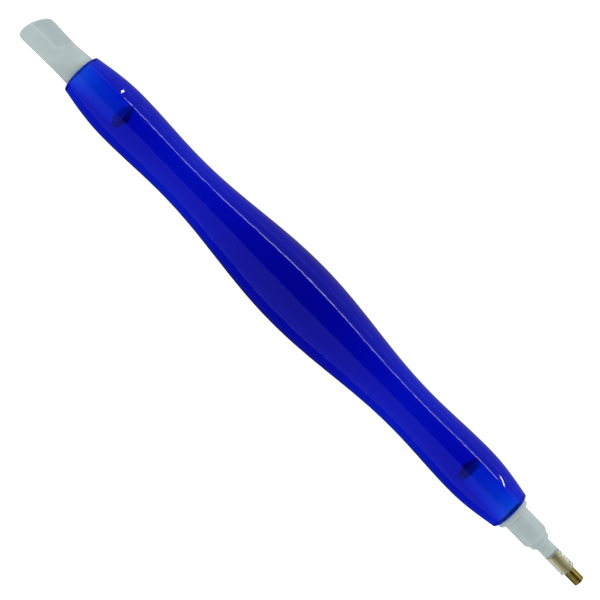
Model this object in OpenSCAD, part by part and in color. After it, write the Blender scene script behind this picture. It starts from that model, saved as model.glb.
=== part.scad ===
// Double-ended bead-setting pen: a clear turned handle with a push-fit head in each end.
// The pen lies along X, with the spatula at -X and the setting tip at +X.
// The origin is on the pen's axis, halfway along its whole length.

/* [Handle] */
// Length of the handle between its two end faces
handle_len = 122.2; // [116:0.2:130]
// Diameter of the belly, at the middle of the handle
belly_d = 15.4; // [13:0.1:18]
// Diameter of the two waists
waist_d = 10.66; // [9:0.02:12]
// Distance from the middle of the handle to each waist
waist_x = 33; // [28:0.5:38]
// Diameter of the two swells beside the ends
swell_d = 11.7; // [11:0.1:13]
// Distance from the middle of the handle to each swell
swell_x = 49.6; // [46:0.2:54]
// Diameter of each end face, before its edge is rounded
end_d = 9.04; // [8.4:0.02:10]
// Radius of the rounded edge around each end face
end_edge_r = 0.4; // [0.2:0.1:0.8]

/* [Sockets and shanks] */
// Diameter of the blind socket drilled in each end
socket_d = 4; // [3.5:0.1:5]
// Depth of each socket at full diameter
socket_depth = 11.6; // [8:0.2:16]
// Included angle of the drill point that closes each socket
drill_angle = 90; // [90:1:140]
// Gap all round between a shank and its socket
shank_gap = 0.03; // [0.01:0.01:0.08]
// Length of the spatula's shank
spatula_shank = 10.8; // [6:0.2:11.4]
// Length of the tip holder's shank
holder_shank = 11.4; // [6:0.2:11.4]
// Width of the bevel at the end of each shank
shank_bevel = 0.3; // [0.1:0.1:0.6]

/* [Spatula] */
// How far the spatula stands out of the handle
spatula_reach = 14.7; // [12:0.1:18]
// Diameter of the spatula's round stem where it meets the handle
stem_d = 6.76; // [6:0.02:7.6]
// Diameter that the flaring stem would have at the blade's end
blade_w = 7.62; // [7:0.02:8.4]
// Distance from the handle to where the stem has thinned down to the blade
scoop_x = 7.6; // [6.5:0.1:8.5]
// Radius of the curve between each scooped slope and the blade
scoop_r = 4.5; // [3:0.1:5]
// Steepness of the scooped slopes
scoop_slope = 40; // [30:1:50]
// Height of the middle of the blade's hollow face above the pen's axis
hollow_z = -0.15; // [-0.5:0.05:0.3]
// Thickness of the blade at its middle
blade_t = 1; // [0.8:0.1:1.6]
// Radius of the shallow hollow along the blade
hollow_r = 16; // [12:1:30]
// Radius of the blade's rounded end
end_r = 6.6; // [5:0.1:12]
// How far from the blade's middle its end reaches furthest
end_offset = 1.65; // [0:0.05:2]
// Corner radius at the blade's longer side
long_corner_r = 0.9; // [0.5:0.1:2]
// Corner radius at the blade's shorter side
short_corner_r = 1.6; // [0.5:0.1:2]
// Turn of the blade about the pen's axis
blade_roll = -28; // [-45:1:45]

/* [Tip holder] */
// Diameter of the flange that seats on the handle
flange_d = 7.3; // [6.5:0.1:8]
// Thickness of the flange
flange_t = 1.4; // [0.8:0.1:2]
// Radius of the flange's outer edge
flange_edge_r = 0.45; // [0.1:0.05:0.6]
// Diameter of the holder's body
body_d = 5.7; // [5:0.1:6.2]
// Distance from the handle to the end of the body
body_x = 7.4; // [6:0.1:9]
// Diameter at the foot of the body's bevel
neck_d = 4.7; // [4.4:0.1:5]
// Diameter of the collar in front of the body
collar_d = 4.5; // [4:0.1:4.6]
// Diameter of the tube at its root
tube_root_d = 3.18; // [3:0.02:3.4]
// Diameter of the tube at its mouth
tube_end_d = 3.42; // [3.2:0.02:3.8]
// Distance from the handle to the tube's mouth
tube_x = 17; // [15:0.1:19]

/* [Setting tip] */
// Outer diameter of the metal tip
tip_d = 2.4; // [2.2:0.1:2.8]
// Inner diameter of the metal tip
tip_bore_d = 1.7; // [1.4:0.1:1.9]
// Length of the metal tip
tip_len = 8; // [6:0.1:10]
// Length of the metal tip that is pressed into the tube
tip_grip = 4.8; // [3:0.1:6]
// Width of the small bevel on the tip's outer edge
tip_bevel = 0.12; // [0.05:0.01:0.25]

/* [Hidden] */
$fn = 96;

half_len = handle_len / 2;
belly_r = belly_d / 2;
waist_r = waist_d / 2;
swell_r = swell_d / 2;
rim_r = end_d / 2;
socket_r = socket_d / 2;
shank_r = socket_r - shank_gap;
// The whole pen's length is shared equally on both sides of the origin.
tip_reach = tube_x - tip_grip + tip_len;
handle_x = (spatula_reach - tip_reach) / 2;
// Distance between neighbouring points of the handle's outline
outline_step = 2.5;
// Length of the straight land around the belly, the line that the pen lies on
land_len = 8;
// Enough to pass right through any part of a head
past = 20;
bevel_len = 0.7;
collar_len = 0.8;
cone_len = 0.7;
tube_bevel = 0.3;

// A half wave from a at s = 0 to b at s = 1, level at both ends
function wave(a, b, s) = (a + b) / 2 + (a - b) / 2 * cos(180 * s);

// A quarter wave from a, level at s = 0, down to b at s = 1
function fall(a, b, s) = b + (a - b) * cos(90 * s);

// Points on a circle's arc from angle a0 to angle a1
function arc(cx, cy, r, a0, a1, steps = 8) = [
    for (i = [0:steps])
        let (a = a0 + (a1 - a0) * i / steps)
        [cx + r * cos(a), cy + r * sin(a)]
];

// Radius of the handle at distance x from its middle
function handle_r(x) =
    x < waist_x ? wave(belly_r, waist_r, x / waist_x)
    : x < swell_x ? wave(waist_r, swell_r, (x - waist_x) / (swell_x - waist_x))
    : fall(swell_r, rim_r, (x - swell_x) / (half_len - swell_x));

// Turns a shape made along Z so that it lies along X
module along_x() {
    rotate([0, 90, 0]) children();
}

// A push-fit shank that runs back from the end face at x = 0 into the handle
module shank(length) {
    along_x() translate([0, 0, shank_bevel - length])
        cylinder(r = shank_r, h = length - shank_bevel);
    along_x() translate([0, 0, -length])
        cylinder(r1 = shank_r - shank_bevel, r2 = shank_r, h = shank_bevel);
}

// A blind drilled hole that runs back from the end face at x = 0, with its drill point
module socket() {
    point_len = socket_r / tan(drill_angle / 2);
    along_x() translate([0, 0, -socket_depth])
        cylinder(r = socket_r, h = socket_depth + 1);
    along_x() translate([0, 0, -socket_depth - point_len])
        cylinder(r1 = 0, r2 = socket_r, h = point_len);
}

// Outline of half the handle from the belly to one end face, as radius against distance
function half_outline() =
    let (
        first = land_len / 2,
        last = half_len - end_edge_r,
        steps = ceil((last - first) / outline_step)
    )
    concat(
        [[belly_r, 0], [belly_r, first]],
        [for (i = [1:steps - 1]) let (x = first + (last - first) * i / steps) [handle_r(x), x]],
        arc(handle_r(last) - end_edge_r, last, end_edge_r, 0, 90, 4)
    );

module half_handle() {
    along_x() rotate_extrude()
        polygon(concat([[0, 0]], half_outline(), [[0, half_len]]));
}

module handle() {
    color([0.02, 0.04, 0.72, 0.75])
        translate([handle_x, 0, 0])
        difference() {
            union() {
                half_handle();
                mirror([1, 0, 0]) half_handle();
            }
            translate([half_len, 0, 0]) socket();
            mirror([1, 0, 0]) translate([half_len, 0, 0]) socket();
        }
}

// Profile, across and up, of the space above the blade's hollow face, as high as the stem needs
module hollow_profile() {
    intersection() {
        translate([0, hollow_r]) circle(r = hollow_r);
        translate([-stem_d, -1]) square([2 * stem_d, stem_d + 1]);
    }
}

// Profile, across and away from the blade, of the space outside its rounded back
module back_profile() {
    back_r = hollow_r + blade_t;
    difference() {
        translate([-stem_d, -blade_t]) square([2 * stem_d, past]);
        translate([0, -back_r]) circle(r = back_r);
    }
}

// Runs a profile straight along X
module along_blade(length) {
    rotate([90, 0, 90]) linear_extrude(length) children();
}

// Runs a profile along the blade, round the scoop's curve and up the slope to the stem
module scoop() {
    translate([scoop_x, 0, 0]) along_blade(past) children();
    translate([scoop_x, 0, scoop_r]) rotate([90, 0, 0]) rotate_extrude()
        intersection() {
            translate([scoop_r, 0]) rotate(90) children();
            translate([0, -past]) square([past, 2 * past]);
        }
    translate([scoop_x, 0, scoop_r]) rotate([0, scoop_slope, 0])
        translate([-past, 0, -scoop_r]) along_blade(past) children();
}

// Where a corner's centre lies along the blade, so that the corner runs smoothly into the end's arc
function corner_x(y, r) = spatula_reach - end_r + sqrt((end_r - r) ^ 2 - (y + end_offset) ^ 2);

// The blade's plan, from the handle's face to its rounded end with two round corners
module blade_plan() {
    side = blade_w / 2;
    end_x = spatula_reach - end_r;
    long_y = -side + long_corner_r;
    short_y = side - short_corner_r;
    long_x = corner_x(long_y, long_corner_r);
    short_x = corner_x(short_y, short_corner_r);
    long_a = atan2(long_y + end_offset, long_x - end_x);
    short_a = atan2(short_y + end_offset, short_x - end_x);
    polygon(concat(
        [[0, -side]],
        arc(long_x, long_y, long_corner_r, -90, long_a, 6),
        arc(end_x, -end_offset, end_r, long_a, short_a, 8),
        arc(short_x, short_y, short_corner_r, short_a, 90, 5),
        [[0, side]]
    ));
}

module blade() {
    difference() {
        intersection() {
            along_x() cylinder(d1 = stem_d, d2 = blade_w, h = spatula_reach);
            translate([0, 0, -past / 2]) linear_extrude(past) blade_plan();
        }
        translate([0, 0, hollow_z]) scoop() hollow_profile();
        translate([0, 0, hollow_z - blade_t]) mirror([0, 0, 1]) scoop() back_profile();
    }
}

module spatula() {
    color([0.75, 0.79, 0.78])
        translate([handle_x - half_len, 0, 0])
        rotate([blade_roll, 0, 0])
        mirror([1, 0, 0])
        union() {
            blade();
            shank(spatula_shank);
        }
}

// Outline of the tip holder outside the handle, as radius against distance
function holder_outline() =
    let (
        flange_r = flange_d / 2,
        neck_x = body_x + bevel_len,
        collar_x = neck_x + collar_len
    )
    concat(
        [[0, 0], [flange_r, 0]],
        arc(flange_r - flange_edge_r, flange_t - flange_edge_r, flange_edge_r, 0, 90, 6),
        [
            [body_d / 2, flange_t],
            [body_d / 2, body_x],
            [neck_d / 2, neck_x],
            [collar_d / 2, neck_x],
            [collar_d / 2, collar_x],
            [tube_root_d / 2, collar_x + cone_len],
            [tube_end_d / 2, tube_x - tube_bevel],
            [tube_end_d / 2 - tube_bevel, tube_x],
            [0, tube_x]
        ]
    );

module tip_holder() {
    color([0.75, 0.79, 0.78])
        translate([handle_x + half_len, 0, 0])
        difference() {
            union() {
                along_x() rotate_extrude() polygon(holder_outline());
                shank(holder_shank);
            }
            along_x() translate([0, 0, tube_x - tip_grip])
                cylinder(d = tip_d, h = tip_grip + 1);
        }
}

module setting_tip() {
    color([0.72, 0.55, 0.2])
        translate([handle_x + half_len + tube_x - tip_grip, 0, 0])
        along_x()
        difference() {
            union() {
                cylinder(d = tip_d, h = tip_len - tip_bevel);
                translate([0, 0, tip_len - tip_bevel])
                    cylinder(d1 = tip_d, d2 = tip_d - 2 * tip_bevel, h = tip_bevel);
            }
            translate([0, 0, -1]) cylinder(d = tip_bore_d, h = tip_len + 2);
        }
}

handle();
spatula();
tip_holder();
setting_tip();
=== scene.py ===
"""Looks of a double-ended gem-setting pen: clear blue handle, milky spatula and tip holder, brass tip.

Everything is in metres, in the CAD frame: the pen lies along X, the spatula at -X and the brass tip at +X.
"""

import math

import bmesh
import bpy
import numpy as np
from mathutils import Matrix, Vector

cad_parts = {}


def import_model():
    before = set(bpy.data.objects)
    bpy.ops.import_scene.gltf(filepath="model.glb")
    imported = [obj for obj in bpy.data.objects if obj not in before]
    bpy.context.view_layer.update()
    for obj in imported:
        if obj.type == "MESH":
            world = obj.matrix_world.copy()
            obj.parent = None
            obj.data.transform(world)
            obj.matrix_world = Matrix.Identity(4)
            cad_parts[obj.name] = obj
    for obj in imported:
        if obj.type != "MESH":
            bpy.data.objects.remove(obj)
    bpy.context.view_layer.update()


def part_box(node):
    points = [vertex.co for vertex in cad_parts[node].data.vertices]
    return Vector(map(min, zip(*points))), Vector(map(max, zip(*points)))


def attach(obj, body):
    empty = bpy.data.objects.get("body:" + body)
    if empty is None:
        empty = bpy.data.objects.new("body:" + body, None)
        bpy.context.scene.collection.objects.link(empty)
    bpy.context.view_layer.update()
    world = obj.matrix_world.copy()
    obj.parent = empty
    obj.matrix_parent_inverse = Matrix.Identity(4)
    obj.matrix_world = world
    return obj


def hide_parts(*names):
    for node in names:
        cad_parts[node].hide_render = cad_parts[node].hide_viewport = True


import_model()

MM = 0.001

# ---- Places and sizes from the CAD frame ----
handle_low, handle_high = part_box("handle")
tip_low, tip_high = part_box("setting_tip")
HOLDER_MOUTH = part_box("tip_holder")[1].x
LEFT_FACE = handle_low.x
RIGHT_FACE = handle_high.x
HANDLE_MID = (LEFT_FACE + RIGHT_FACE) / 2
HALF_LEN = (RIGHT_FACE - LEFT_FACE) / 2
BELLY_R = (handle_high.z - handle_low.z) / 2
FLOOR_Z = handle_low.z

# ---- Sizes that the boxes don't give ----
WAIST_R, WAIST_X = 5.33 * MM, 33 * MM
SWELL_R, SWELL_X = 5.85 * MM, 49.6 * MM
END_R, END_EDGE_R = 4.52 * MM, 0.4 * MM
SOCKET_R, SOCKET_DEPTH = 1.99 * MM, 12.4 * MM
DRILL_HALF_ANGLE = math.radians(59)
# The shanks touch their sockets all round, so that no thin layer of air mirrors the light between them
SHANK_R, SPATULA_SHANK, HOLDER_SHANK = 2 * MM, 10.8 * MM, 11.3 * MM
# How far the spatula reaches from the handle, the radius of its stem, and how much wider the blade gets
REACH, STEM_R, BLADE_WIDENING = 14.45 * MM, 3.5 * MM, 0.43 * MM
# Distances from the handle at which the stem ends, the blade begins and its end starts to round off
STEM_END, BLADE_START, ROUNDING_START = 0.6 * MM, 7.2 * MM, 10 * MM
# The radius of the blade's end seen from above, and how far that curve and the blade are set to one side
BLADE_END_R, END_OFFSET, BLADE_OFFSET = 7.2 * MM, 1 * MM, 0.12 * MM
# The height and radius of the hollow along the blade, its thickness, and its roll about the pen's axis
HOLLOW_Z, HOLLOW_R, BLADE_THICKNESS, BLADE_ROLL = -0.15 * MM, 16 * MM, 1 * MM, math.radians(-28)
# Small gap that keeps two facing surfaces apart
SEAT_GAP = 0.01 * MM


# ---- Mesh helpers ----
def wave(a, b, s):
    """A half wave from a at s = 0 to b at s = 1, level at both ends."""
    return (a + b) / 2 + (a - b) / 2 * np.cos(np.pi * s)


def ease(s):
    """0 to 1 for s from 0 to 1, level at both ends and held outside."""
    s = np.clip(s, 0, 1)
    return s * s * (3 - 2 * s)


def new_object(name, vertices, faces, body, node, material, sharp_deg=35):
    """A smooth-shaded mesh piece that rides on a body, stands for a CAD node and takes one material."""
    mesh = bpy.data.meshes.new(name)
    mesh.from_pydata([tuple(v) for v in vertices], [], [tuple(f) for f in faces])
    bm = bmesh.new()
    bm.from_mesh(mesh)
    bmesh.ops.remove_doubles(bm, verts=bm.verts, dist=1e-7)
    bmesh.ops.recalc_face_normals(bm, faces=bm.faces)
    bm.to_mesh(mesh)
    bm.free()
    mesh.shade_smooth()
    mesh.set_sharp_from_angle(angle=math.radians(sharp_deg))
    mesh.materials.append(material)
    piece = bpy.data.objects.new(name, mesh)
    bpy.context.scene.collection.objects.link(piece)
    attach(piece, body)
    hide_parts(node)
    return piece


def filleted(corners, steps=5):
    """The outline through (x, r, fillet radius) corners, with each corner rounded by an arc."""
    points = []
    last = len(corners) - 1
    for i, (x, r, fillet) in enumerate(corners):
        here = np.array([x, r])
        if fillet <= 0 or i in (0, last):
            points.append(here)
            continue
        back = np.array(corners[i - 1][:2]) - here
        ahead = np.array(corners[i + 1][:2]) - here
        back_len, ahead_len = np.linalg.norm(back), np.linalg.norm(ahead)
        back, ahead = back / back_len, ahead / ahead_len
        half = math.acos(np.clip(back @ ahead, -1, 1)) / 2
        cut = min(fillet / math.tan(half), 0.45 * back_len, 0.45 * ahead_len)
        radius = cut * math.tan(half)
        centre = here + (back + ahead) / np.linalg.norm(back + ahead) * radius / math.sin(half)
        start, end = here + back * cut - centre, here + ahead * cut - centre
        sweep = math.atan2(start[0] * end[1] - start[1] * end[0], start @ end)
        for k in range(steps + 1):
            a = sweep * k / steps
            turn = np.array([[math.cos(a), -math.sin(a)], [math.sin(a), math.cos(a)]])
            points.append(centre + turn @ start)
    return points


def subdivided(points, step):
    """The same outline with more points on its straight stretches, for even shading and texture."""
    out = [points[0]]
    for a, b in zip(points, points[1:]):
        n = max(1, math.ceil(np.linalg.norm(b - a) / step))
        out += [a + (b - a) * k / n for k in range(1, n + 1)]
    return out


def lathe(outline, segments, closed=False):
    """Vertices and faces of (x, r) points turned about the X axis. A closed outline makes a ring."""
    angles = np.linspace(0, 2 * np.pi, segments, endpoint=False)
    vertices = [(x, r * math.cos(a), r * math.sin(a)) for x, r in outline for a in angles]
    faces = []
    rings = len(outline)
    for i in range(rings if closed else rings - 1):
        here, after = i * segments, (i + 1) % rings * segments
        for k in range(segments):
            n = (k + 1) % segments
            faces.append((here + k, here + n, after + n, after + k))
    return vertices, faces


# ---- Materials ----
def material(name):
    """A new node material, with its Principled node, its output and functions that add and join nodes."""
    mat = bpy.data.materials.new(name)
    mat.use_nodes = True
    nodes, links = mat.node_tree.nodes, mat.node_tree.links
    shader = nodes["Principled BSDF"]
    output = nodes["Material Output"]

    def add(kind, **values):
        node = nodes.new(kind)
        for key, value in values.items():
            if hasattr(node, key):
                setattr(node, key, value)
            else:
                node.inputs[key.replace("_", " ")].default_value = value
        return node

    return mat, shader, output, add, links.new


def acrylic():
    """Polished blue acrylic, tinted by its depth, faintly smeared and rippled, matt where it was drilled and
    darkened there as painted shade.
    """
    mat, shader, output, add, join = material("clear_blue_acrylic")
    shader.inputs["IOR"].default_value = 1.49
    shader.inputs["Transmission Weight"].default_value = 1
    place = add("ShaderNodeTexCoord")

    smears = add("ShaderNodeTexNoise", Scale=160.0, Detail=4.0)
    gloss = add("ShaderNodeMapRange", From_Min=0.3, From_Max=0.75, To_Min=0.0, To_Max=0.035)
    join(place.outputs["Object"], smears.inputs["Vector"])
    join(smears.outputs["Fac"], gloss.inputs["Value"])

    # One within a slim ellipsoid that takes in the drill points and the sockets beyond the shanks. There the
    # surface is rough, and its colour is darkened as painted shade.
    half_length, half_width = 57.68 * MM, 2 * SOCKET_R
    from_middle = add("ShaderNodeVectorMath", operation="SUBTRACT")
    from_middle.inputs[1].default_value = (HANDLE_MID, 0, 0)
    scaled = add("ShaderNodeVectorMath", operation="MULTIPLY")
    scaled.inputs[1].default_value = (half_width / half_length, 1, 1)
    reach = add("ShaderNodeVectorMath", operation="LENGTH")
    drilled_and_shaded = add("ShaderNodeMapRange", From_Min=1.005 * half_width, From_Max=0.995 * half_width)
    matt = add("ShaderNodeMix", data_type="FLOAT")
    matt.inputs["B"].default_value = 0.65
    # Painted shade: the colour is darkened at the drill points and the sockets
    drill_shade = add("ShaderNodeMix", data_type="RGBA")
    drill_shade.inputs["A"].default_value = (1, 1, 1, 1)
    drill_shade.inputs["B"].default_value = (0.4, 0.4, 0.45, 1)
    join(place.outputs["Object"], from_middle.inputs[0])
    join(from_middle.outputs["Vector"], scaled.inputs[0])
    join(scaled.outputs["Vector"], reach.inputs[0])
    join(reach.outputs["Value"], drilled_and_shaded.inputs["Value"])
    join(drilled_and_shaded.outputs["Result"], drill_shade.inputs["Factor"])
    join(drill_shade.outputs["Result"], shader.inputs["Base Color"])
    join(drilled_and_shaded.outputs["Result"], matt.inputs["Factor"])
    join(gloss.outputs["Result"], matt.inputs["A"])
    join(matt.outputs["Result"], shader.inputs["Roughness"])

    ripples = add("ShaderNodeTexNoise", Scale=45.0, Detail=0.0)
    bump = add("ShaderNodeBump", Strength=0.03, Distance=0.00003)
    join(place.outputs["Object"], ripples.inputs["Vector"])
    join(ripples.outputs["Fac"], bump.inputs["Height"])
    join(bump.outputs["Normal"], shader.inputs["Normal"])

    tint = add("ShaderNodeVolumeAbsorption", Density=1000.0)
    tint.inputs["Color"].default_value = (0.0, 0.45, 0.914, 1)
    join(tint.outputs["Volume"], output.inputs["Volume"])
    return mat


def milky(name):
    """Translucent moulded plastic: cloudy, slightly green, finely grained. Inside the handle it is made
    clear and its colour white, painted brightness for the light the acrylic gathers onto the shanks.
    """
    mat, shader, output, add, join = material(name)
    shader.inputs["IOR"].default_value = 1.49
    shader.inputs["Subsurface Weight"].default_value = 1
    shader.inputs["Subsurface Radius"].default_value = (1, 1, 1)
    shader.inputs["Subsurface Scale"].default_value = 0.45 * MM
    place = add("ShaderNodeTexCoord")

    clouds = add("ShaderNodeTexNoise", Scale=250.0, Detail=2.0)
    colour = add("ShaderNodeValToRGB")
    colour.color_ramp.elements[0].position = 0.3
    colour.color_ramp.elements[0].color = (0.49, 0.57, 0.575, 1)
    colour.color_ramp.elements[1].position = 0.7
    colour.color_ramp.elements[1].color = (0.53, 0.61, 0.615, 1)
    join(place.outputs["Object"], clouds.inputs["Vector"])
    join(clouds.outputs["Fac"], colour.inputs["Fac"])

    # One where the plastic is inside the handle, so a shank that is pulled out looks cloudy again
    geometry = add("ShaderNodeNewGeometry")
    now_at = add("ShaderNodeSeparateXYZ")
    from_middle = add("ShaderNodeMath", operation="SUBTRACT")
    from_middle.inputs[1].default_value = HANDLE_MID
    distance = add("ShaderNodeMath", operation="ABSOLUTE")
    inside = add("ShaderNodeMath", operation="LESS_THAN")
    inside.inputs[1].default_value = HALF_LEN
    join(geometry.outputs["Position"], now_at.inputs["Vector"])
    join(now_at.outputs["X"], from_middle.inputs[0])
    join(from_middle.outputs["Value"], distance.inputs[0])
    join(distance.outputs["Value"], inside.inputs[0])

    # The thin wall of the holder's tube is partly clear
    moulded_at = add("ShaderNodeSeparateXYZ")
    thin = add("ShaderNodeMapRange", To_Min=0.0, To_Max=0.93)
    thin.inputs["From Min"].default_value = tip_low.x - 0.6 * MM
    thin.inputs["From Max"].default_value = tip_low.x + 0.3 * MM
    # Clear where the tube's wall is thin and inside the handle, and there the colour goes towards white.
    # Inside the handle this whitening is painted brightness, for the light the acrylic gathers onto the
    # shanks.
    clear = add("ShaderNodeMath", operation="MAXIMUM")
    clearing_and_painted_light = add("ShaderNodeMath", operation="POWER")
    clearing_and_painted_light.inputs[1].default_value = 10
    tint = add("ShaderNodeMix", data_type="RGBA")
    tint.inputs["B"].default_value = (1, 1, 1, 1)
    join(place.outputs["Object"], moulded_at.inputs["Vector"])
    join(moulded_at.outputs["X"], thin.inputs["Value"])
    join(thin.outputs["Result"], clear.inputs[0])
    join(inside.outputs["Value"], clear.inputs[1])
    join(clear.outputs["Value"], shader.inputs["Transmission Weight"])
    join(clear.outputs["Value"], clearing_and_painted_light.inputs[0])
    join(clearing_and_painted_light.outputs["Value"], tint.inputs["Factor"])
    join(colour.outputs["Color"], tint.inputs["A"])
    join(tint.outputs["Result"], shader.inputs["Base Color"])

    grain = add("ShaderNodeTexNoise", Scale=1200.0, Detail=1.0)
    gloss = add("ShaderNodeMapRange", From_Min=0.3, From_Max=0.7, To_Min=0.1, To_Max=0.16)
    rougher = add("ShaderNodeMath", operation="MULTIPLY_ADD")
    rougher.inputs[1].default_value = 0.2
    wetted = add("ShaderNodeMix", data_type="FLOAT")
    wetted.inputs["B"].default_value = 0.08
    bump = add("ShaderNodeBump", Strength=0.05, Distance=0.00001)
    join(place.outputs["Object"], grain.inputs["Vector"])
    join(grain.outputs["Fac"], gloss.inputs["Value"])
    join(thin.outputs["Result"], rougher.inputs[0])
    join(gloss.outputs["Result"], rougher.inputs[2])
    join(rougher.outputs["Value"], wetted.inputs["A"])
    join(inside.outputs["Value"], wetted.inputs["Factor"])
    join(wetted.outputs["Result"], shader.inputs["Roughness"])
    join(grain.outputs["Fac"], bump.inputs["Height"])
    join(bump.outputs["Normal"], shader.inputs["Normal"])
    return mat


def brass():
    """Drawn and turned brass, with fine rings round it and a few duller patches."""
    mat, shader, output, add, join = material("turned_brass")
    shader.inputs["Metallic"].default_value = 1
    place = add("ShaderNodeTexCoord")

    patches = add("ShaderNodeTexNoise", Scale=900.0, Detail=3.0)
    colour = add("ShaderNodeValToRGB")
    colour.color_ramp.elements[0].position = 0.25
    colour.color_ramp.elements[0].color = (0.70, 0.50, 0.09, 1)
    colour.color_ramp.elements[1].position = 0.65
    colour.color_ramp.elements[1].color = (0.92, 0.73, 0.18, 1)
    gloss = add("ShaderNodeMapRange", To_Min=0.25, To_Max=0.4)
    join(place.outputs["Object"], patches.inputs["Vector"])
    join(patches.outputs["Fac"], colour.inputs["Fac"])
    join(colour.outputs["Color"], shader.inputs["Base Color"])
    join(patches.outputs["Fac"], gloss.inputs["Value"])
    join(gloss.outputs["Result"], shader.inputs["Roughness"])

    rings = add("ShaderNodeTexWave", bands_direction="X", Scale=2500.0, Distortion=1.5)
    bump = add("ShaderNodeBump", Strength=0.05, Distance=0.00001)
    join(place.outputs["Object"], rings.inputs["Vector"])
    join(rings.outputs["Fac"], bump.inputs["Height"])
    join(bump.outputs["Normal"], shader.inputs["Normal"])
    return mat


# ---- Pieces ----
def handle_radius(x):
    """Radius of the handle at distance x from its middle."""
    if x < WAIST_X:
        return wave(BELLY_R, WAIST_R, x / WAIST_X)
    if x < SWELL_X:
        return wave(WAIST_R, SWELL_R, (x - WAIST_X) / (SWELL_X - WAIST_X))
    s = (x - SWELL_X) / (HALF_LEN - SWELL_X)
    return END_R + (SWELL_R - END_R) * math.cos(math.pi / 2 * s)


def half_handle_outline():
    """From the belly to the drill point inside one end, as distance from the middle and radius."""
    edge_x = HALF_LEN - END_EDGE_R
    outline = [np.array([x, handle_radius(x)]) for x in np.linspace(0, edge_x, 110)]
    edge_r = handle_radius(edge_x)
    point_x = HALF_LEN - SOCKET_DEPTH - SOCKET_R / math.tan(DRILL_HALF_ANGLE)
    end = [
        (edge_x, edge_r, 0),
        (HALF_LEN, edge_r - 0.05 * MM, END_EDGE_R),
        (HALF_LEN, SOCKET_R, 0.12 * MM),
        (HALF_LEN - SOCKET_DEPTH, SOCKET_R, 0.1 * MM),
        (point_x, 0, 0),
    ]
    return outline[:-1] + subdivided(filleted(end), 0.6 * MM)


def make_handle():
    half = half_handle_outline()
    left = [(HANDLE_MID - x, r) for x, r in reversed(half)]
    right = [(HANDLE_MID + x, r) for x, r in half[1:]]
    vertices, faces = lathe(left + right, 192)
    return new_object("handle_body", vertices, faces, "handle", "handle", acrylic())


def shank_corners(length):
    """The push-fit shank from its inner end to the handle's face, at x = 0."""
    return [(-length, 0, 0), (-length, SHANK_R, 0.3 * MM), (SEAT_GAP, SHANK_R, 0.05 * MM)]


def make_tip_holder(plastic):
    pocket_x = tip_low.x - RIGHT_FACE - 0.02 * MM
    mouth_x = HOLDER_MOUTH - RIGHT_FACE
    flange_r, body_r, neck_r, pocket_r = 3.65 * MM, 2.85 * MM, 2.25 * MM, 1.21 * MM
    corners = shank_corners(HOLDER_SHANK) + [
        (SEAT_GAP, flange_r, 0.12 * MM),
        (1.4 * MM, flange_r, 0.45 * MM),
        (1.4 * MM, body_r, 0.15 * MM),
        (7.4 * MM, body_r, 0.2 * MM),
        (8.1 * MM, neck_r + 0.1 * MM, 0.1 * MM),
        (8.12 * MM, neck_r, 0.05 * MM),
        (8.9 * MM, neck_r, 0.2 * MM),
        (9.6 * MM, 1.59 * MM, 0.25 * MM),
        (mouth_x - 0.3 * MM, 1.71 * MM, 0.15 * MM),
        (mouth_x, 1.41 * MM, 0.08 * MM),
        (mouth_x, pocket_r, 0.05 * MM),
        (pocket_x, pocket_r, 0.05 * MM),
        (pocket_x, 0, 0),
    ]
    outline = [(RIGHT_FACE + x, r) for x, r in subdivided(filleted(corners), 0.4 * MM)]
    vertices, faces = lathe(outline, 128)
    return new_object(
        "tip_holder_moulding", vertices, faces, "tip_head", "tip_holder", plastic
    )


def make_setting_tip():
    outer, bore = 1.195 * MM, 0.85 * MM
    back, front = tip_low.x, tip_high.x
    middle = (back + front) / 2
    corners = [
        (middle, outer, 0),
        (front, outer, 0.12 * MM),
        (front, bore, 0.05 * MM),
        (back, bore, 0.05 * MM),
        (back, outer, 0.25 * MM),
        (middle, outer, 0),
    ]
    outline = subdivided(filleted(corners), 0.3 * MM)[:-1]
    vertices, faces = lathe(outline, 96, closed=True)
    return new_object(
        "setting_tip_tube", vertices, faces, "tip_head", "setting_tip", brass()
    )


def flatness(x):
    """0 at the spatula's round stem and 1 where it has become the blade, x from the handle's face."""
    return float(wave(0, 1, np.clip((x - STEM_END) / (BLADE_START - STEM_END), 0, 1)))


def smooth_max(a, b, blend):
    """The larger of a and b, rounded off where they are nearly equal."""
    return np.maximum(a, b) + np.maximum(blend - np.abs(a - b), 0) ** 2 / (4 * blend)


def spatula_depth(x, across, up):
    """About how far a point is outside the spatula, or inside it if negative.

    The round stem runs smoothly into the blade, which is hollow on top.
    """
    across = across - BLADE_OFFSET
    flat = flatness(x)
    side_r = STEM_R + BLADE_WIDENING * x / REACH
    stem = np.sqrt(np.maximum(side_r ** 2 - across ** 2, 0))
    top = HOLLOW_Z + HOLLOW_R - np.sqrt(HOLLOW_R ** 2 - across ** 2)
    back_r = HOLLOW_R + BLADE_THICKNESS
    bottom = HOLLOW_Z - BLADE_THICKNESS + back_r - np.sqrt(back_r ** 2 - across ** 2)
    above = up - (1 - flat) * stem - flat * top
    below = (flat - 1) * stem + flat * bottom - up
    end = np.hypot(np.maximum(x - REACH + BLADE_END_R, 0), across + END_OFFSET) - BLADE_END_R
    corner_blend = np.where(across > 0, 0.8, 1.1) * MM
    edge_blend = (0.02 + 0.33 * flat) * MM
    outline = smooth_max(np.abs(across) - side_r, end, corner_blend)
    return smooth_max(outline, np.maximum(above, below), edge_blend)


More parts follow.
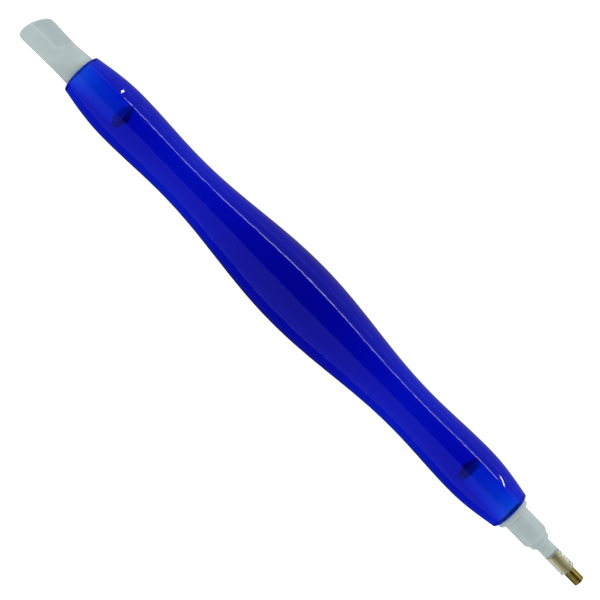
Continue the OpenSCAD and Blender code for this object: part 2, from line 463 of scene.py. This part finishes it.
def spatula_ring(x, points):
    """Evenly spaced (across, up) points round the spatula's cross-section at x."""
    centre_y = -END_OFFSET * ease((x - ROUNDING_START) / (4 * MM))
    centre_z = (HOLLOW_Z - BLADE_THICKNESS / 2) * flatness(x)
    a = np.linspace(0, 2 * np.pi, 1441)
    inner, outer = np.zeros_like(a), np.full_like(a, 7 * MM)
    for _ in range(30):
        r = (inner + outer) / 2
        inside = spatula_depth(x, centre_y + r * np.cos(a), centre_z + r * np.sin(a)) < 0
        inner, outer = np.where(inside, r, inner), np.where(inside, outer, r)
    across, up = centre_y + inner * np.cos(a), centre_z + inner * np.sin(a)
    along = np.concatenate([[0], np.cumsum(np.hypot(np.diff(across), np.diff(up)))])
    at = np.linspace(0, along[-1], points, endpoint=False)
    return np.interp(at, along, across), np.interp(at, along, up)


def make_spatula(plastic):
    points = 144
    rings = []
    for x, r in subdivided(filleted(shank_corners(SPATULA_SHANK)), 0.5 * MM):
        a = np.linspace(0, 2 * np.pi, points, endpoint=False)
        rings.append((x, r * np.cos(a), r * np.sin(a)))
    for x in np.linspace(SEAT_GAP, ROUNDING_START, 70):
        rings.append((x, *spatula_ring(x, points)))
    for a in np.linspace(0, np.pi / 2, 50)[1:-1]:
        x = ROUNDING_START + (REACH - ROUNDING_START) * math.sin(a)
        rings.append((x, *spatula_ring(x, points)))
    # The last ring closes at one point of the blade's edge
    edge_z = -0.6 * MM
    rings.append((REACH, np.full(points, -END_OFFSET), np.full(points, edge_z)))
    vertices = []
    for x, across, up in rings:
        y = across * math.cos(BLADE_ROLL) - up * math.sin(BLADE_ROLL)
        z = across * math.sin(BLADE_ROLL) + up * math.cos(BLADE_ROLL)
        vertices += [(LEFT_FACE - x, *yz) for yz in zip(y, z)]
    faces = []
    for i in range(len(rings) - 1):
        here, after = i * points, (i + 1) * points
        for k in range(points):
            n = (k + 1) % points
            faces.append((here + k, here + n, after + n, after + k))
    return new_object(
        "spatula_moulding", vertices, faces, "spatula_head", "spatula", plastic
    )


plastic = milky("milky_plastic")
handle_body = make_handle()
spatula_moulding = make_spatula(plastic)
make_tip_holder(plastic)
make_setting_tip()


# ---- Camera ----
def make_camera():
    distance = 255 * MM
    roll = math.radians(45.53)
    tilt = math.radians(1.4)
    target = Vector((HANDLE_MID + 1.4 * MM, -0.43 * MM, 0))
    along = Vector((math.cos(tilt), 0, math.sin(tilt)))
    side = Vector((0, 1, 0))
    back = along.cross(side)
    right = math.cos(roll) * along + math.sin(roll) * side
    up = -math.sin(roll) * along + math.cos(roll) * side
    data = bpy.data.cameras.new("camera")
    data.sensor_width = 36
    data.lens = 36 * distance / (120 * MM)
    data.clip_start, data.clip_end = 0.01, 20
    camera = bpy.data.objects.new("camera", data)
    bpy.context.scene.collection.objects.link(camera)
    turn = Matrix((right, up, back)).transposed().to_4x4()
    camera.matrix_world = Matrix.Translation(target + back * distance) @ turn
    bpy.context.scene.camera = camera


make_camera()


# ---- Floor, light and studio cards ----
def glowing(name, radiance):
    """A material that only glows, evenly."""
    mat = bpy.data.materials.new(name)
    mat.use_nodes = True
    nodes, links = mat.node_tree.nodes, mat.node_tree.links
    nodes.clear()
    glow = nodes.new("ShaderNodeEmission")
    glow.inputs["Color"].default_value = (radiance, radiance, radiance, 1)
    output = nodes.new("ShaderNodeOutputMaterial")
    links.new(glow.outputs["Emission"], output.inputs["Surface"])
    return mat


def rectangle(half_length, y0, y1, z):
    """Corners of a level rectangle, centred along X."""
    return [(-half_length, y0, z), (half_length, y0, z), (half_length, y1, z), (-half_length, y1, z)]


def sheet(name, corners, mat):
    mesh = bpy.data.meshes.new(name)
    mesh.from_pydata(corners, [], [(0, 1, 2, 3)])
    mesh.materials.append(mat)
    piece = bpy.data.objects.new(name, mesh)
    bpy.context.scene.collection.objects.link(piece)
    return piece


def floor():
    mat = bpy.data.materials.new("pale_floor")
    mat.use_nodes = True
    nodes, links = mat.node_tree.nodes, mat.node_tree.links
    shader = nodes["Principled BSDF"]
    shader.inputs["Base Color"].default_value = (0.4, 0.4, 0.4, 1)
    shader.inputs["Roughness"].default_value = 0.9
    shader.inputs["Specular IOR Level"].default_value = 0
    shader.inputs["Emission Color"].default_value = (1, 1, 1, 1)
    path = nodes.new("ShaderNodeLightPath")
    glow = nodes.new("ShaderNodeMapRange")
    glow.inputs["To Min"].default_value = 1.0
    glow.inputs["To Max"].default_value = 0.95
    links.new(path.outputs["Is Camera Ray"], glow.inputs["Value"])
    links.new(glow.outputs["Result"], shader.inputs["Emission Strength"])
    sheet("floor", rectangle(2.5, -2.5, 2.5, FLOOR_Z), mat)


def reflection_card(name, corners, radiance):
    """A studio card that only shows as a reflection in gloss."""
    card = sheet(name, corners, glowing(name, radiance))
    card.visible_camera = False
    card.visible_diffuse = False
    card.visible_transmission = False
    card.visible_shadow = False
    card.visible_volume_scatter = False
    return card


def overhead_card(name, from_deg, to_deg, radiance, height=0.6, half_length=0.9):
    """A card overhead, between two angles from straight up towards +Y."""
    y0, y1 = (height * math.tan(math.radians(a)) for a in (from_deg, to_deg))
    return reflection_card(name, rectangle(half_length, y0, y1, height), radiance)


# Cards just above the floor, seen only in reflections, that show the floor there in painted shade: dark to
# the left and dim to the right
def floor_card(name, y0, y1, radiance):
    return reflection_card(name, rectangle(0.5, y0, y1, FLOOR_Z + 0.05 * MM), radiance)


def lamp(name, aim, towards, along, length, width, radiance):
    """A rectangular lamp that faces the point aim from the direction towards, its long side close to along.

    It isn't seen through the clear pieces.
    """
    distance = 0.4
    data = bpy.data.lights.new(name, "AREA")
    data.shape = "RECTANGLE"
    data.size, data.size_y = length, width
    data.energy = radiance * math.pi * length * width
    piece = bpy.data.objects.new(name, data)
    bpy.context.scene.collection.objects.link(piece)
    back = towards.normalized()
    short = back.cross(along).normalized()
    turn = Matrix((short.cross(back), short, back)).transposed().to_4x4()
    piece.matrix_world = Matrix.Translation(aim + back * distance) @ turn
    piece.visible_transmission = False
    return piece


def light_only(piece, piece_lamps):
    """Keeps some lamps' light to one piece."""
    lit = bpy.data.collections.new("lit_" + piece.name)
    lit.objects.link(piece)
    for piece_lamp in piece_lamps:
        piece_lamp.light_linking.receiver_collection = lit


def lamps(handle, spatula):
    """A strip that draws a line along the handle, two lamps that glint near its ends, one for the blade."""
    along = Vector((1, 0, 0))
    middle = HANDLE_MID * along
    blade = (LEFT_FACE - 7.5 * MM) * along
    left, right = middle - 0.053 * along, middle + 0.053 * along
    lamp("strip_lamp", middle + 0.04 * along, Vector((0, 0.837, 0.547)), along, 0.37, 0.025, 5.0)
    towards, length_way = Vector((-0.27, 0.90, 0.30)), Vector((0, -0.1, 0.29))
    left_lamp = lamp("left_lamp", left, towards, length_way, 0.12, 0.008, 20.0)
    towards, length_way = Vector((0.41, 0.85, 0.31)), Vector((0.08, -0.13, 0.24))
    right_lamp = lamp("right_lamp", right, towards, length_way, 0.12, 0.008, 20.0)
    towards = Vector((-0.28, 0.803, 0.526))
    spine_lamp = lamp("spine_lamp", blade - 0.45 * along, towards, along, 1.2, 0.03, 2.5)
    light_only(handle, (left_lamp, right_lamp))
    light_only(spatula, (spine_lamp,))


def world():
    """White to the camera, dim in reflections, bright to the sides through the plastic, bright as a lamp."""
    room = bpy.data.worlds.new("studio")
    room.use_nodes = True
    nodes, links = room.node_tree.nodes, room.node_tree.links
    path = nodes.new("ShaderNodeLightPath")
    place = nodes.new("ShaderNodeTexCoord")
    spot = nodes.new("ShaderNodeSeparateXYZ")
    sides = nodes.new("ShaderNodeMapRange")
    sides.inputs["From Min"].default_value = 0.5
    sides.inputs["From Max"].default_value = 0.95
    sides.inputs["To Min"].default_value = 0.9
    sides.inputs["To Max"].default_value = 0.15
    around = nodes.new("ShaderNodeMix")
    around.inputs["A"].default_value = 0.2
    around.inputs["B"].default_value = 0.85
    through = nodes.new("ShaderNodeMix")
    seen = nodes.new("ShaderNodeMix")
    seen.inputs["B"].default_value = 1
    links.new(place.outputs["Generated"], spot.inputs["Vector"])
    links.new(spot.outputs["Z"], sides.inputs["Value"])
    links.new(path.outputs["Is Diffuse Ray"], around.inputs["Factor"])
    links.new(around.outputs["Result"], through.inputs["A"])
    links.new(path.outputs["Is Transmission Ray"], through.inputs["Factor"])
    links.new(sides.outputs["Result"], through.inputs["B"])
    links.new(path.outputs["Is Camera Ray"], seen.inputs["Factor"])
    links.new(through.outputs["Result"], seen.inputs["A"])
    links.new(seen.outputs["Result"], nodes["Background"].inputs["Color"])
    bpy.context.scene.world = room


floor()
world()
lamps(handle_body, spatula_moulding)
overhead_card("overhead_flag", -11, 55, 0.02)
floor_card("left_floor_shade", -0.5, -0.004, 0.03)
floor_card("right_floor_card", 0.004, 0.5, 0.2)

bpy.context.scene.view_settings.view_transform = "Standard"
